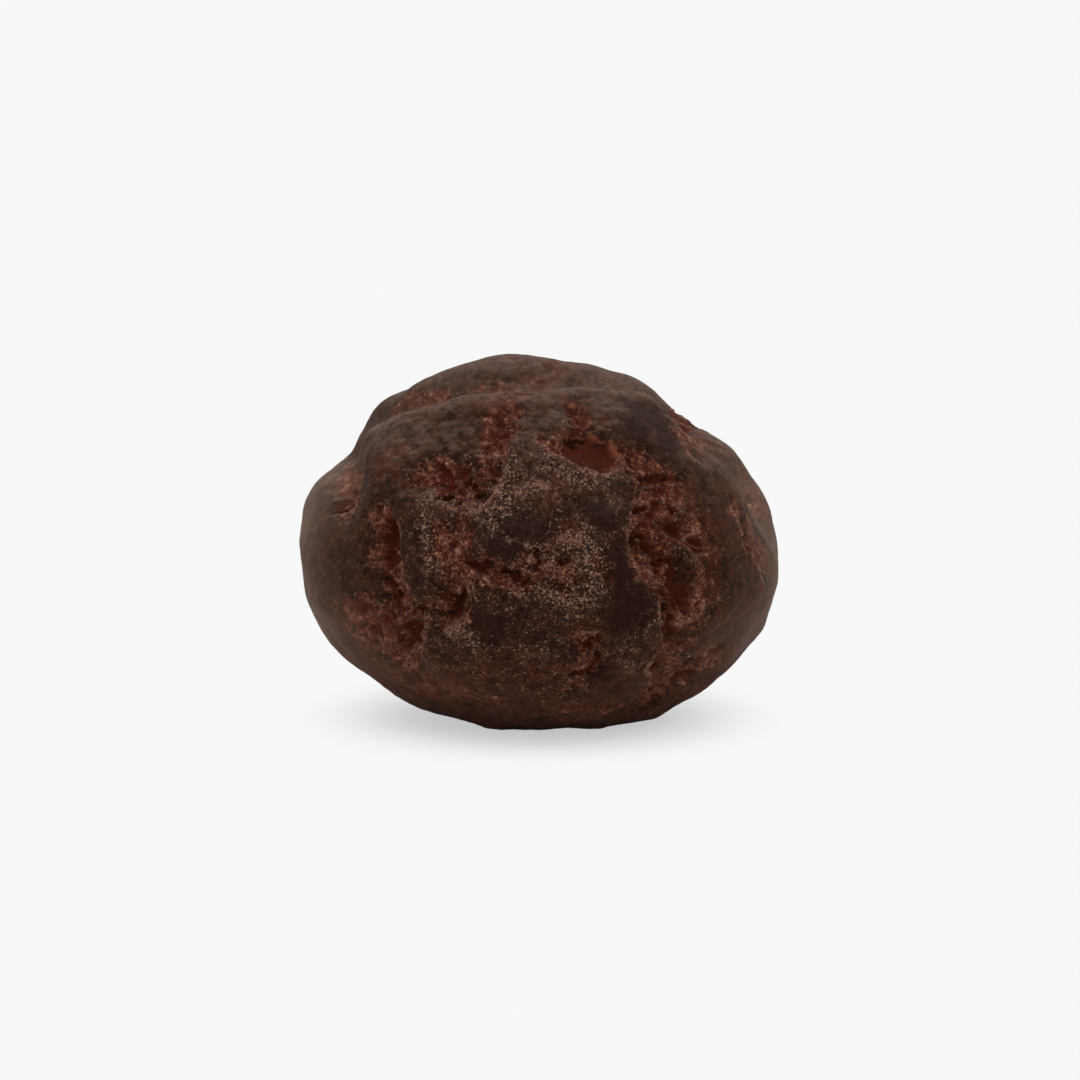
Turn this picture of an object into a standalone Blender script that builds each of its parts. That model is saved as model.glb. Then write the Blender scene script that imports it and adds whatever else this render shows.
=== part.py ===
"""Chocolate covered goldenberry: a dried berry under a thick coat of dark chocolate.

The sweet is one uncut solid. Its coat has lobes and folds where it followed the wrinkled fruit, and
channels and pits where it cracked and crumbled. It rests on the small flat that it set on.

Places on the coat are given as (longitude, latitude) in degrees, seen from the middle of the berry:
longitude 0 faces -Y, longitude 90 faces +X, and latitude 90 is the top.
"""

import math
import random

import bmesh
import bpy
import numpy as np
from mathutils import Vector, noise

MM = 0.001

# Overall form
WIDTH = 18.0 * MM
DEPTH = 16.4 * MM
MIDDLE_HEIGHT = 6.5 * MM
RISE_ABOVE_MIDDLE = 6.95 * MM
DROP_BELOW_MIDDLE = 6.9 * MM
UPPER_FULLNESS = 1.82
LOWER_FULLNESS = 2.0
# Sideways lean towards +X for each unit of height above the middle
LEAN = -0.08

# Each cube face of the ball is split into this many rows and columns of quads.
FACE_ROWS = 28

# Broad swellings of the fruit: (longitude, latitude), radius, height
LOBES = {
    "back_lobe": ((160, 58), 6.5 * MM, 0.45 * MM),
    "right_shoulder": ((86, 32), 2.8 * MM, 0.25 * MM),
    "left_shoulder": ((-84, 4), 3.0 * MM, 0.15 * MM),
    "lower_left": ((-85, -30), 4.0 * MM, 0.40 * MM),
    "upper_left": ((-112, 50), 2.8 * MM, 0.30 * MM),
    "summit": ((-75, 82), 2.0 * MM, 0.10 * MM),
    "far_shoulder": ((88, 50), 2.2 * MM, 0.18 * MM),
    "right_belly": ((92, 4), 2.0 * MM, 0.15 * MM),
    "front_mass": ((5, 5), 6.5 * MM, 0.25 * MM),
    "low_right": ((62, -46), 2.2 * MM, 0.15 * MM),
}

# Raised edges of the coat: stations, width, height
RIDGES = {
    "crest": (
        ((-80, 38), (-62, 49), (-40, 54), (-18, 56), (2, 57), (24, 61), (46, 59), (66, 50)),
        1.4 * MM,
        0.30 * MM,
    ),
    "right_brow": (((66, 50), (68, 38), (66, 26), (67, 12), (64, -7)), 1.4 * MM, 0.20 * MM),
    "far_brow": (((172, 18), (150, 34), (118, 38)), 1.6 * MM, 0.25 * MM),
}

# Soft folds between the lobes: stations, width, depth
FOLDS = {
    "behind_crest": (
        ((-94, 30), (-78, 44), (-58, 57), (-30, 66), (0, 68), (35, 69), (66, 60), (86, 50)),
        2.1 * MM,
        0.50 * MM,
    ),
    "left_fold": (((-94, 28), (-68, 25), (-60, 19), (-60, 13)), 1.6 * MM, 0.48 * MM),
    "right_fold": (((74, 44), (73, 34), (74, 20), (80, 6)), 1.6 * MM, 0.35 * MM),
    "far_fold": (((-94, 28), (-118, 22), (-140, 2)), 2.0 * MM, 0.33 * MM),
    "far_cleft": (((128, 64), (140, 40), (168, 28)), 1.8 * MM, 0.40 * MM),
}

# Channels and pits where the coat has crumbled away: stations, width, depth
CHANNELS = {
    "left_channel": (((-43, 14), (-41, 8), (-40, -3), (-39, -13), (-43, -23)), 1.4 * MM, 0.70 * MM),
    "lower_left_patch": (((-50, -11), (-47, -20)), 2.0 * MM, 0.35 * MM),
    "upper_left_pit": (((-31, 28), (-26, 27), (-17, 24)), 1.6 * MM, 0.60 * MM),
    "brow_crack": (((-9, 49), (-10, 37), (-12, 26)), 1.0 * MM, 0.30 * MM),
    "main_hole": (((19, 39), (26, 35)), 1.35 * MM, 0.55 * MM),
    "hole_lead": (((24, 51), (22, 44)), 1.0 * MM, 0.30 * MM),
    "right_channel": (((38, 29), (39, 23), (34, 14), (30, 5)), 2.2 * MM, 0.75 * MM),
    "right_branch": (((36, 14), (44, 7)), 1.2 * MM, 0.65 * MM),
    "right_tail": (((33, 1), (38, -6), (37, -21)), 1.7 * MM, 0.75 * MM),
    "centre_crack": (((-19, 13), (-20, 7), (-14, 3), (-5, -1), (7, 2)), 1.0 * MM, 0.50 * MM),
    "small_pit": (((-22, -4), (-26, -10)), 1.1 * MM, 0.55 * MM),
    "lower_pit": (((11, -17), (13, -23), (9, -31)), 1.1 * MM, 0.45 * MM),
    "lower_right_scar": (((43, -41), (44, -33), (54, -28)), 1.8 * MM, 0.45 * MM),
    "right_hollow": (((70, 10), (69, 1)), 1.2 * MM, 0.40 * MM),
}

# The far side cracked in the same way, along short wandering paths that start in rows round it:
# latitude of a row, number of cracks in it
FAR_ROWS = ((52, 3), (28, 5), (4, 5), (-20, 4))
FAR_SEED = 11
FAR_LONGITUDES = (92, 268)
FAR_SCATTER = 9
FAR_WIDTHS = (1.4 * MM, 2.2 * MM)
FAR_DEPTHS = (0.35 * MM, 0.65 * MM)
FAR_STEP = 9
FAR_TURN = 50

# The paths of cracks, folds and ridges waver sideways between their stations: size, reach
WAVERS = ((2.4 * MM, 0.35 * MM), (1.0 * MM, 0.20 * MM))
WAVER_SEED = 5

# Lumps all over the coat: size of a lump, height
LUMPS = ((3.4 * MM, 0.26 * MM), (1.5 * MM, 0.16 * MM))


def directions_of(longitude, latitude):
    """Unit vector from the middle of the berry towards a place on its coat."""
    turn = math.radians(longitude)
    tilt = math.radians(latitude)
    return np.array([math.sin(turn) * math.cos(tilt), -math.cos(turn) * math.cos(tilt), math.sin(tilt)])


def smooth_radius(directions):
    """Radius of the smooth egg form, whose lower half is cut off by its flat."""
    across = np.hypot(directions[:, 0] / (WIDTH / 2), directions[:, 1] / (DEPTH / 2))
    upper = directions[:, 2] > 0
    half_height = np.where(upper, RISE_ABOVE_MIDDLE, DROP_BELOW_MIDDLE)
    fullness = np.where(upper, UPPER_FULLNESS, LOWER_FULLNESS)
    upright = np.abs(directions[:, 2]) / half_height
    return (across**fullness + upright**fullness) ** (-1 / fullness)


def places_on_form(stations):
    """Points of the smooth form at these stations."""
    directions = np.array([directions_of(*station) for station in stations])
    return directions * smooth_radius(directions)[:, None]


def distance_to_path(points, stations):
    """Distance from each wavered point to the run of lines through the wavered stations."""
    corners = wavered(places_on_form(stations))
    nearest = np.full(len(points), np.inf)
    for start, end in zip(corners[:-1], corners[1:]):
        along = end - start
        share = np.clip((points - start) @ along / (along @ along), 0, 1)
        nearest = np.minimum(nearest, np.linalg.norm(points - start - share[:, None] * along, axis=1))
    return nearest


def bump(distance, width):
    """1 on the path, falling softly to 0 about one width away."""
    return np.exp(-((distance / (width / 2)) ** 2))


def trench(distance, width):
    """1 over the flat floor of a channel, falling over steep walls to 0 outside it."""
    return 1 / (1 + (distance / (width / 2)) ** 4)


def wandering_crack(draw, longitude, latitude):
    """One crack that wanders off from its start: stations, width, depth."""
    heading = draw.uniform(0, 360)
    stations = []
    for _ in range(draw.randint(2, 4)):
        stations.append((longitude, latitude))
        heading += draw.uniform(-FAR_TURN, FAR_TURN)
        longitude += FAR_STEP * math.cos(math.radians(heading)) / math.cos(math.radians(latitude))
        latitude += FAR_STEP * math.sin(math.radians(heading))
    return stations, draw.uniform(*FAR_WIDTHS), draw.uniform(*FAR_DEPTHS)


def far_cracks():
    """The cracks of the far side, row by row."""
    draw = random.Random(FAR_SEED)
    first, last = FAR_LONGITUDES
    cracks = []
    for row_latitude, count in FAR_ROWS:
        for number in range(count):
            longitude = first + (number + 0.5) * (last - first) / count
            longitude += draw.uniform(-FAR_SCATTER, FAR_SCATTER)
            latitude = row_latitude + draw.uniform(-FAR_SCATTER, FAR_SCATTER)
            cracks.append(wandering_crack(draw, longitude, latitude))
    return cracks


def lump_height(points):
    """Uneven thickness of the coat."""
    heights = np.zeros(len(points))
    for size, height in LUMPS:
        heights += height * np.array([noise.noise(Vector(point / size)) for point in points])
    return heights


def wavered(points):
    """The points moved a little sideways, so that straight paths come out crooked."""
    moved = points.copy()
    for size, reach in WAVERS:
        moved += reach * np.array([noise.noise_vector(Vector(point / size)) for point in points])
    return moved


def coat_radius(directions):
    """Radius of the finished coat in each direction."""
    smooth = smooth_radius(directions)
    points = directions * smooth[:, None]
    radius = smooth + lump_height(points)
    for place, size, height in LOBES.values():
        radius += height * bump(np.linalg.norm(points - places_on_form([place])[0], axis=1), 2 * size)
    points = wavered(points)
    for stations, width, height in RIDGES.values():
        radius += height * bump(distance_to_path(points, stations), width)
    for stations, width, depth in FOLDS.values():
        radius -= depth * bump(distance_to_path(points, stations), width)
    worn = np.zeros(len(points))
    for stations, width, depth in list(CHANNELS.values()) + far_cracks():
        worn = np.maximum(worn, depth * trench(distance_to_path(points, stations), width))
    return radius - worn


def even_ball(rows):
    """A cube whose faces are grids, blown up to a ball with quads of nearly even size."""
    mesh = bmesh.new()
    bmesh.ops.create_cube(mesh, size=2)
    bmesh.ops.subdivide_edges(mesh, edges=mesh.edges[:], cuts=rows - 1, use_grid_fill=True)
    for vert in mesh.verts:
        vert.co = Vector([math.tan(value * math.pi / 4) for value in vert.co]).normalized()
    return mesh


def model_berry():
    mesh = even_ball(FACE_ROWS)
    directions = np.array([vert.co for vert in mesh.verts])
    points = directions * coat_radius(directions)[:, None]
    points[:, 0] += LEAN * points[:, 2]
    points[:, 2] = np.maximum(points[:, 2] + MIDDLE_HEIGHT, 0)
    middle = (points.min(axis=0) + points.max(axis=0)) / 2
    points[:, :2] -= middle[:2]
    for vert, point in zip(mesh.verts, points):
        vert.co = point
    bmesh.ops.recalc_face_normals(mesh, faces=mesh.faces[:])
    data = bpy.data.meshes.new("chocolate_goldenberry")
    mesh.to_mesh(data)
    mesh.free()
    data.shade_smooth()
    return bpy.data.objects.new("chocolate_goldenberry", data)


def dark_chocolate():
    material = bpy.data.materials.new("dark_chocolate")
    material.use_nodes = True
    shader = material.node_tree.nodes["Principled BSDF"]
    shader.inputs["Base Color"].default_value = (0.061, 0.028, 0.020, 1)
    shader.inputs["Roughness"].default_value = 0.62
    shader.inputs["Metallic"].default_value = 0.0
    return material


def main():
    noise.seed_set(WAVER_SEED)
    for old in list(bpy.data.objects):
        bpy.data.objects.remove(old)
    collection = bpy.data.collections.new("chocolate_covered_goldenberry")
    bpy.context.scene.collection.children.link(collection)
    berry = model_berry()
    berry.data.materials.append(dark_chocolate())
    collection.objects.link(berry)


main()
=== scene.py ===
"""A chocolate covered goldenberry: the finished coat, the crumbs in its channels, and a plain studio."""

import math
import random

import bmesh
import bpy
import numpy as np
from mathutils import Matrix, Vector, noise


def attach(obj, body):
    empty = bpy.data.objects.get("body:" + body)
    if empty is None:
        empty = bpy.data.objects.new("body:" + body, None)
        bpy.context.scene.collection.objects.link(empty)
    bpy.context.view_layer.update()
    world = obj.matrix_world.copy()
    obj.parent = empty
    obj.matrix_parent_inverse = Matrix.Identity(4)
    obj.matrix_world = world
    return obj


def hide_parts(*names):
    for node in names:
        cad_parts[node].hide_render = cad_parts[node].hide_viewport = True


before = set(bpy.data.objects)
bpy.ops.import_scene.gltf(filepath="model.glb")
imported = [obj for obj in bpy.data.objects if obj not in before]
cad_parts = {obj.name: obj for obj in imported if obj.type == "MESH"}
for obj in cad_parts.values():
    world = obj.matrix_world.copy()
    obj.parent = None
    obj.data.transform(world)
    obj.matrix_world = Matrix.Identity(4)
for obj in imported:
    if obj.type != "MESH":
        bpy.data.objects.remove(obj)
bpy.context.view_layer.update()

# ---- Chocolate coat ------------------------------------------------------------------------------
# Dark chocolate, panned onto the dried berry in many thin layers, so that it follows the wrinkled
# fruit in lobes and folds. It has cracked into plates, and rust-brown crumb shows in the channels
# where it has worn away. Old layers have a fine pale bloom of cocoa butter.

MM = 0.001

# Overall form, before its flat and its lobes
WIDTH = 18.0 * MM
DEPTH = 16.4 * MM
MIDDLE_HEIGHT = 6.5 * MM
RISE_ABOVE_MIDDLE = 6.95 * MM
DROP_BELOW_MIDDLE = 6.9 * MM
UPPER_FULLNESS = 1.82
LOWER_FULLNESS = 2.0
# Sideways lean towards +X for each unit of height above the middle
LEAN = -0.08

# Each cube face of the ball is split into this many rows and columns of quads.
COAT_ROWS = 182

# Broad swellings of the fruit: (longitude, latitude), radius, height
LOBES = {
    "back_lobe": ((160, 58), 6.5 * MM, 0.45 * MM),
    "right_shoulder": ((86, 32), 2.8 * MM, 0.25 * MM),
    "left_shoulder": ((-84, 4), 3.0 * MM, 0.15 * MM),
    "lower_left": ((-85, -30), 4.0 * MM, 0.40 * MM),
    "upper_left": ((-112, 50), 2.8 * MM, 0.30 * MM),
    "summit": ((-75, 82), 2.0 * MM, 0.10 * MM),
    "far_shoulder": ((88, 50), 2.2 * MM, 0.18 * MM),
    "right_belly": ((92, 4), 2.0 * MM, 0.15 * MM),
    "front_mass": ((5, 5), 6.5 * MM, 0.25 * MM),
    "low_right": ((62, -46), 2.2 * MM, 0.15 * MM),
}

# Raised edges of the coat: stations, width, height
RIDGES = {
    "crest": (
        ((-80, 38), (-62, 49), (-40, 54), (-18, 56), (2, 57), (24, 61), (46, 59), (66, 50)),
        1.4 * MM,
        0.30 * MM,
    ),
    "right_brow": (((66, 50), (68, 38), (66, 26), (67, 12), (64, -7)), 1.4 * MM, 0.20 * MM),
    "far_brow": (((172, 18), (150, 34), (118, 38)), 1.6 * MM, 0.25 * MM),
}

# Soft folds between the lobes: stations, width, depth
FOLDS = {
    "behind_crest": (
        ((-94, 30), (-78, 44), (-58, 57), (-30, 66), (0, 68), (35, 69), (66, 60), (86, 50)),
        2.1 * MM,
        0.50 * MM,
    ),
    "left_fold": (((-94, 28), (-68, 25), (-60, 19), (-60, 13)), 1.6 * MM, 0.48 * MM),
    "right_fold": (((74, 44), (73, 34), (74, 20), (80, 6)), 1.6 * MM, 0.35 * MM),
    "far_fold": (((-94, 28), (-118, 22), (-140, 2)), 2.0 * MM, 0.33 * MM),
    "far_cleft": (((128, 64), (140, 40), (168, 28)), 1.8 * MM, 0.40 * MM),
}

# Channels and pits where the coat has crumbled away: stations, width, depth
CHANNELS = {
    "left_channel": (((-43, 14), (-41, 8), (-40, -3), (-39, -13), (-43, -23)), 1.4 * MM, 0.70 * MM),
    "lower_left_patch": (((-50, -11), (-47, -20)), 2.0 * MM, 0.35 * MM),
    "upper_left_pit": (((-31, 28), (-26, 27), (-17, 24)), 1.6 * MM, 0.60 * MM),
    "brow_crack": (((-9, 49), (-10, 37), (-12, 26)), 1.0 * MM, 0.30 * MM),
    "main_hole": (((19, 39), (26, 35)), 1.35 * MM, 0.55 * MM),
    "hole_lead": (((24, 51), (22, 44)), 1.0 * MM, 0.30 * MM),
    "right_channel": (((38, 29), (39, 23), (34, 14), (30, 5)), 2.2 * MM, 0.75 * MM),
    "right_branch": (((36, 14), (44, 7)), 1.2 * MM, 0.65 * MM),
    "right_tail": (((33, 1), (38, -6), (37, -21)), 1.7 * MM, 0.75 * MM),
    "centre_crack": (((-19, 13), (-20, 7), (-14, 3), (-5, -1), (7, 2)), 1.0 * MM, 0.50 * MM),
    "small_pit": (((-22, -4), (-26, -10)), 1.1 * MM, 0.55 * MM),
    "lower_pit": (((11, -17), (13, -23), (9, -31)), 1.1 * MM, 0.45 * MM),
    "lower_right_scar": (((43, -41), (44, -33), (54, -28)), 1.8 * MM, 0.45 * MM),
    "right_hollow": (((70, 10), (69, 1)), 1.2 * MM, 0.40 * MM),
}

# The far side cracked in the same way, along short wandering paths that start in rows round it:
# latitude of a row, number of cracks in it
FAR_ROWS = ((52, 3), (28, 5), (4, 5), (-20, 4))
FAR_SEED = 11
FAR_LONGITUDES = (92, 268)
FAR_SCATTER = 9
FAR_WIDTHS = (1.4 * MM, 2.2 * MM)
FAR_DEPTHS = (0.35 * MM, 0.65 * MM)
FAR_STEP = 9
FAR_TURN = 50

# Deep pits inside the worn places: stations, width, depth
PITS = {
    "bubble_deep": (((17, 41), (21, 42)), 0.45 * MM, 0.20 * MM),
    "left_deep": (((-42, 12), (-42, 3)), 0.70 * MM, 0.60 * MM),
    "left_low": (((-42, -3), (-41, -6)), 0.40 * MM, 0.35 * MM),
    "upper_left_slot": (((-30, 30), (-27, 28), (-24, 25)), 0.45 * MM, 0.35 * MM),
    "upper_left_gap": (((-20, 26), (-18, 25)), 0.35 * MM, 0.40 * MM),
    "upper_left_low": (((-16, 22), (-14, 21)), 0.35 * MM, 0.35 * MM),
    "upper_left_high": (((-11, 30), (-11, 27)), 0.30 * MM, 0.30 * MM),
    "upper_left_eye": (((-26, 21), (-24, 21)), 0.30 * MM, 0.30 * MM),
    "brow_slot": (((-11, 49), (-10, 43)), 0.25 * MM, 0.22 * MM),
    "right_start": (((36, 30), (37, 29)), 0.40 * MM, 0.25 * MM),
    "right_first": (((40, 26), (43, 25)), 0.45 * MM, 0.45 * MM),
    "right_second": (((29, 18), (32, 17)), 0.35 * MM, 0.35 * MM),
    "right_third": (((38, 12), (40, 10)), 0.50 * MM, 0.50 * MM),
    "right_fourth": (((30, 10), (31, 7)), 0.45 * MM, 0.40 * MM),
    "right_fifth": (((33, 3), (37, 3)), 0.40 * MM, 0.40 * MM),
    "right_sixth": (((44, 8), (47, 7)), 0.35 * MM, 0.35 * MM),
    "tail_long": (((38, 0), (39, -8)), 0.80 * MM, 0.45 * MM),
    "tail_small": (((33, -8), (34, -9)), 0.35 * MM, 0.30 * MM),
    "tail_low": (((37, -13), (37, -16)), 0.40 * MM, 0.35 * MM),
    "centre_start": (((-17, 5), (-15, 4), (-12, 3)), 0.34 * MM, 0.45 * MM),
    "centre_gap": (((-8, 2), (-6, 1)), 0.26 * MM, 0.50 * MM),
    "centre_low": (((-5, 0), (-3, 0)), 0.20 * MM, 0.40 * MM),
    "centre_high": (((0, 7), (0, 5)), 0.25 * MM, 0.35 * MM),
    "middle_left": (((-25, -11), (-22, -10), (-20, -6)), 0.50 * MM, 0.50 * MM),
    "low_first": (((11, -18), (13, -20)), 0.30 * MM, 0.45 * MM),
    "low_second": (((14, -21), (16, -22)), 0.28 * MM, 0.35 * MM),
    "lower_left_deep": (((-38, -16), (-43, -20)), 0.50 * MM, 0.45 * MM),
    "lower_left_small": (((-51, -16), (-49, -16)), 0.35 * MM, 0.25 * MM),
    "scar_deep": (((50, -34), (56, -33)), 0.50 * MM, 0.35 * MM),
    "scar_slot": (((44, -48), (47, -46)), 0.40 * MM, 0.35 * MM),
    "right_edge": (((62, 5), (64, 2)), 0.50 * MM, 0.25 * MM),
}

# The one pit whose floor is smooth: a bubble in the coat that lost its lid
BUBBLE = (((19, 37), (25, 34)), 1.55 * MM, 0.22 * MM)

# Flakes of the coat that lean in at the edge of that bubble: stations, width, rise
FLAKES = (
    (((26, 41), (32, 40)), 0.42 * MM, 0.17 * MM),
    (((32, 38), (31, 34)), 0.38 * MM, 0.17 * MM),
)

# Broken edges of the coat, which fall away on the left-hand side of the path: stations, reach, step
SCARPS = {
    "right_upper": (((34, 32), (35, 26), (31, 21), (28, 16), (26, 12), (26, 7)), 0.9 * MM, 0.22 * MM),
    "right_lower": (((26, 4), (30, 1), (32, -2), (32, -6), (31, -10), (36, -19)), 0.9 * MM, 0.25 * MM),
    "left": (((-35, -5), (-38, 2), (-38, 7), (-38, 12)), 0.8 * MM, 0.20 * MM),
    "upper_left": (((-26, 20), (-21, 18), (-14, 20), (-11, 23)), 0.7 * MM, 0.10 * MM),
    "bubble_rim": (((4, 39), (8, 36), (13, 32), (18, 29), (24, 28), (30, 30)), 0.5 * MM, 0.05 * MM),
    "left_notch": (((-63, 13), (-60, 15), (-60, 18), (-59, 23)), 0.8 * MM, 0.20 * MM),
    "lower_left": (((-46, -25), (-37, -19), (-31, -9)), 0.8 * MM, 0.20 * MM),
    "middle_left": (((-26, -13), (-21, -9), (-18, -1)), 0.6 * MM, 0.15 * MM),
    "scar": (((45, -24), (38, -24), (31, -26), (40, -40)), 0.9 * MM, 0.22 * MM),
    "right_edge": (((63, 14), (62, 8), (63, 3), (65, -3)), 0.8 * MM, 0.22 * MM),
}

# Places where only the skin of the coat is rubbed or crumbly: stations, width, strength
RUBBED = {
    "centre": (((-2, 5), (5, 8), (11, 8), (13, 2), (5, -4)), 1.2 * MM, 0.65),
    "brow": (((-12, 52), (-12, 41), (-12, 32), (-12, 25)), 1.0 * MM, 1.00),
    "middle_left": (((-22, 11), (-21, 5), (-21, -3), (-26, -10)), 1.2 * MM, 0.85),
    "bubble": (((11, 37), (15, 41), (20, 42)), 0.9 * MM, 0.85),
    "above_bubble": (((25, 56), (23, 47)), 1.0 * MM, 0.70),
    "left_notch": (((-81, 26), (-65, 21), (-61, 15)), 0.9 * MM, 0.80),
    "left_patch": (((-49, 28), (-46, 33)), 1.0 * MM, 0.55),
    "lower_left": (((-51, -13), (-47, -19)), 2.4 * MM, 0.80),
    "right": (((44, 20), (46, 7), (45, -6), (42, -16)), 1.6 * MM, 0.55),
    "behind_left": (((-81, 48), (-66, 58)), 1.1 * MM, 0.70),
    "behind_middle": (((-36, 68), (-5, 62)), 1.2 * MM, 0.85),
    "behind_right": (((20, 76), (48, 78)), 1.4 * MM, 0.60),
    "right_shoulder": (((63, 34), (81, 33)), 1.5 * MM, 0.55),
    "right_flank": (((80, 18), (82, 11)), 1.2 * MM, 0.80),
    "right_edge": (((63, 11), (63, 6), (64, 1)), 1.2 * MM, 0.70),
    "low_left": (((-49, -31), (-38, -35), (-20, -37)), 1.2 * MM, 0.75),
    "low_middle": (((2, -42), (24, -45)), 1.2 * MM, 0.75),
}

# Thin pale crests of crumb: stations, width
STREAKS = (
    (((-4, 22), (-1, 24), (1, 25), (4, 24)), 0.20 * MM),
    (((-22, 18), (-17, 17), (-14, 18)), 0.22 * MM),
    (((-25, -14), (-22, -13), (-19, -10)), 0.20 * MM),
    (((-13, 34), (-10, 33)), 0.22 * MM),
    (((25, 5), (27, 2), (30, 1)), 0.22 * MM),
    (((5, 9), (8, 11), (11, 9)), 0.20 * MM),
    (((12, -21), (17, -20)), 0.18 * MM),
    (((42, 8), (46, 10)), 0.20 * MM),
    (((40, -14), (44, -12), (45, -9)), 0.22 * MM),
    (((58, 33), (58, 28), (61, 24)), 0.18 * MM),
    (((14, 30), (19, 27), (26, 28)), 0.18 * MM),
    (((35, 27), (32, 21), (29, 16)), 0.16 * MM),
)

# Places where the crumb is fresh and orange: stations, width
FRESH = (
    (((-22, 9), (-21, 7), (-20, 4), (-18, 1)), 0.8 * MM),
    (((-15, -1), (-11, -3), (-5, -1), (-2, -3)), 0.7 * MM),
    (((-1, 6), (3, 5), (6, 3)), 0.9 * MM),
    (((-25, -14), (-22, -13), (-18, -8)), 0.6 * MM),
    (((10, -26), (13, -26), (15, -22)), 0.6 * MM),
    (((11, -18), (13, -15), (17, -15)), 0.5 * MM),
    (((-15, 51), (-15, 46), (-15, 40)), 0.6 * MM),
    (((-7, 51), (-7, 44), (-10, 36)), 0.6 * MM),
    (((25, 4), (27, 1), (28, -4)), 0.6 * MM),
    (((42, 10), (46, 9), (48, 7)), 0.7 * MM),
    (((-46, 15), (-46, 9), (-45, 2)), 0.7 * MM),
    (((-39, 6), (-38, 0), (-37, -6)), 0.7 * MM),
    (((-54, -13), (-51, -14), (-48, -14)), 1.0 * MM),
    (((-37, -17), (-41, -22), (-45, -25)), 0.9 * MM),
    (((47, -40), (52, -40), (57, -31)), 0.8 * MM),
    (((43, 2), (43, -4), (42, -10), (39, -12)), 0.8 * MM),
    (((31, 43), (32, 38), (30, 34)), 0.6 * MM),
    (((9, 41), (11, 37), (15, 46)), 0.7 * MM),
    (((-34, 32), (-30, 33), (-25, 30)), 0.7 * MM),
    (((-70, 46), (-66, 54), (-58, 60)), 0.7 * MM),
    (((-14, 56), (0, 57)), 0.9 * MM),
    (((62, 36), (67, 33)), 1.0 * MM),
    (((-77, 24), (-60, 18)), 0.6 * MM),
    (((27, 47), (24, 52)), 0.8 * MM),
)

# Smooth bare places without bloom, and places where the bloom lies thickest, the first of them along the
# crest, where its paleness is also a painted highlight from the light above: stations, width
BARE = (
    (((-4, 13), (1, 12)), 1.0 * MM),
    (((17, 17), (19, 14)), 0.9 * MM),
    (((20, 5), (21, -3)), 1.3 * MM),
    (((24, -6), (20, -10)), 1.2 * MM),
    (((-24, 11), (-24, 8)), 0.8 * MM),
    (((-10, 9), (-5, 7)), 0.9 * MM),
    (((44, 42), (50, 45), (54, 41), (54, 37)), 1.4 * MM),
    (((15, -27), (22, -33)), 1.2 * MM),
    (((-19, -8), (-13, -11)), 1.3 * MM),
)
DUST_AND_CREST_HIGHLIGHT = (
    # Partly painted highlight: along the crest, where it catches the light from above
    (((-80, 38), (-62, 49), (-40, 54), (-18, 56), (2, 57), (24, 61), (46, 59), (66, 50)), 0.7 * MM),
    (((-4, 22), (-1, 24), (1, 25), (3, 24)), 0.5 * MM),
    (((-7, 32), (-8, 24), (-9, 18)), 0.8 * MM),
    (((5, 31), (14, 27), (21, 26)), 0.8 * MM),
    (((1, 7), (8, 8), (13, 7), (15, 1), (9, -4), (3, -3)), 1.5 * MM),
    (((-11, 14), (-8, 12)), 0.9 * MM),
    (((-25, -14), (-21, -13), (-17, -17)), 0.8 * MM),
    (((-29, 16), (-28, 10), (-27, 4)), 0.7 * MM),
    (((82, 64), (98, 57), (110, 48)), 2.4 * MM),
    (((24, -17), (23, -25)), 0.7 * MM),
    (((-6, -22), (2, -20)), 0.8 * MM),
    (((-30, 19), (-25, 20), (-21, 18), (-13, 19), (-12, 24)), 0.6 * MM),
    (((5, 35), (10, 30), (16, 27), (26, 27)), 0.5 * MM),
)

# The paths waver sideways between their stations, and more finely so that edges are ragged: size, reach
WAVERS = ((2.4 * MM, 0.35 * MM), (1.0 * MM, 0.20 * MM))
WAVER_SEED = 5
RAGGED = ((0.50 * MM, 0.13 * MM), (0.25 * MM, 0.07 * MM))

# Where a plate ends and crumb starts, its edge frays: size, reach; and how soft that edge is
FRAY = ((0.85 * MM, 0.34 * MM), (0.34 * MM, 0.20 * MM))
FRAY_SOFTNESS = 0.50 * MM
RUBBED_FRAY = 1.2
RUBBED_SOFTNESS = 1.20 * MM

# Edges of the pits and of the bubble: size, reach
JAG = ((0.30 * MM, 0.20 * MM), (0.16 * MM, 0.13 * MM))
BUBBLE_JAG = 0.9

# Lumps of the whole coat, and the grain of its plates: size, height
LUMPS = ((3.4 * MM, 0.26 * MM), (1.5 * MM, 0.16 * MM))
GRAIN = ((0.75 * MM, 0.040 * MM), (0.36 * MM, 0.035 * MM), (0.21 * MM, 0.020 * MM))

# Width of a broken wall, and the thin raised rim along it
WALL = 0.16 * MM
RIM_HEIGHT = 0.05 * MM
RIM_WIDTH = 0.10 * MM

# Rims round the far cracks, in patches: strength, distance from the edge, size of a patch
FAR_RIM = 0.7
FAR_RIM_OFFSET = 0.25 * MM
FAR_RIM_PATCH = 1.2 * MM

# Crumb in the worn places: size of a crumb, height
CRUMB = ((0.42 * MM, 0.15 * MM), (0.25 * MM, 0.12 * MM), (0.16 * MM, 0.05 * MM))
CRUMB_LEVEL = 0.45

# Its level below the plates, its reach to each side as a share of a channel's width, and its
# roughness where only the skin is rubbed
WORN_DROP = 0.08 * MM
WORN_REACH = 0.42
RUBBED_ROUGHNESS = 0.45

# Shares of their depth that channels and pits fall, and small hollows in the crumb
FALL = 0.5
PIT_FALL = 0.80
HOLLOW_SIZE = 0.50 * MM
HOLLOW_DEPTH = 0.22 * MM

# Towards both sides the relief gets lower by up to this share, so that the outline stays smooth.
# It starts where the Y of the direction from the middle is less than SIDE_SHARE.
SIDE_SHARE = 0.42
SIDE_CALM = 0.7

# Less bloom has stuck where the direction from the middle points further down than this.
LOW_DUST = -0.2

# The edge of the flat that it rests on is rounded over this height above and below.
FLAT_ROUNDING = 0.25 * MM


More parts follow.
